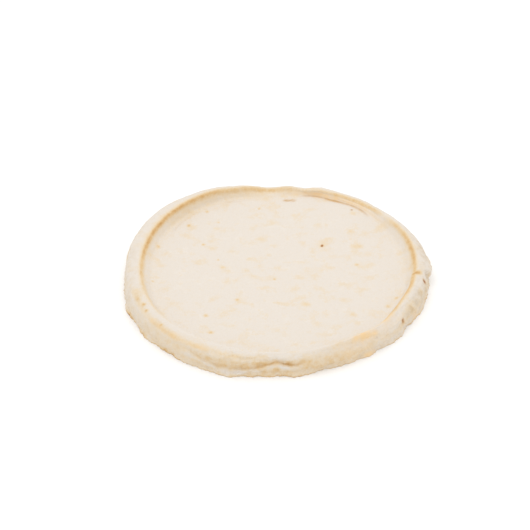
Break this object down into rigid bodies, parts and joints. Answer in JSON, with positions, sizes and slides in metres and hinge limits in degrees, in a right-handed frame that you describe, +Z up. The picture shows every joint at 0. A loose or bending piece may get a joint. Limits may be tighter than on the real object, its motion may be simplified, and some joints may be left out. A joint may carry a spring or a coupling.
{
  "type": "pizza crust",
  "caption": "Round par-baked pizza crust: plain pale bread with a thick uneven rolled rim around a wide shallow recess that takes the sauce and topping.",
  "frame": {"origin": "middle of the outline's bounding box, on the flat underside", "axes": "+Z up out of the recess, +X to the right and +Y away from someone who stands in front of the folded part of the rim"},
  "size_m": [0.3066, 0.2986, 0.024],
  "materials": {
    "baked_dough": "dull pale baked bread, lightly toasted along the rim's edges and in its creases"
  },
  "bodies": {
    "root": {"crust": "baked_dough"}
  },
  "joints": []
}
